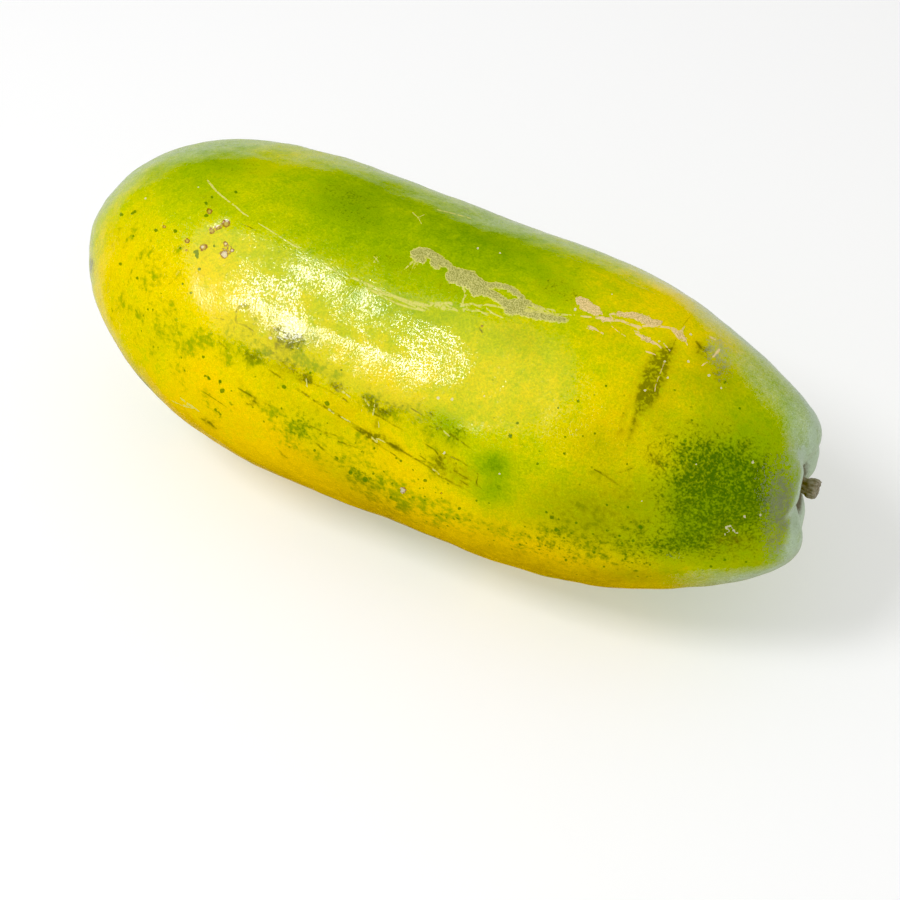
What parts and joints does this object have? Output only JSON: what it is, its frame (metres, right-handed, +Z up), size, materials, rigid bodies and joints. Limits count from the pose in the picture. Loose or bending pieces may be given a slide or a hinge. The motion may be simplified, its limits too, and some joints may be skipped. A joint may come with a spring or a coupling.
{
  "type": "papaya",
  "caption": "Whole long papaya lying on its side, green ripening to yellow, with soft ridges and a short cut stalk in the hollow of its stem end.",
  "frame": {"origin": "under the middle of the fruit's bounding box, on the surface it lies on", "axes": "+X along the fruit from the blossom end towards the stem end, +Z up, -Y towards the side with the large green patch near the stem"},
  "size_m": [0.3286, 0.133, 0.1328],
  "materials": {
    "fruit_skin": "waxy skin, yellow-green",
    "stalk": "dry and rough"
  },
  "bodies": {
    "root": {"fruit": "fruit_skin", "stem": "stalk"}
  },
  "joints": []
}
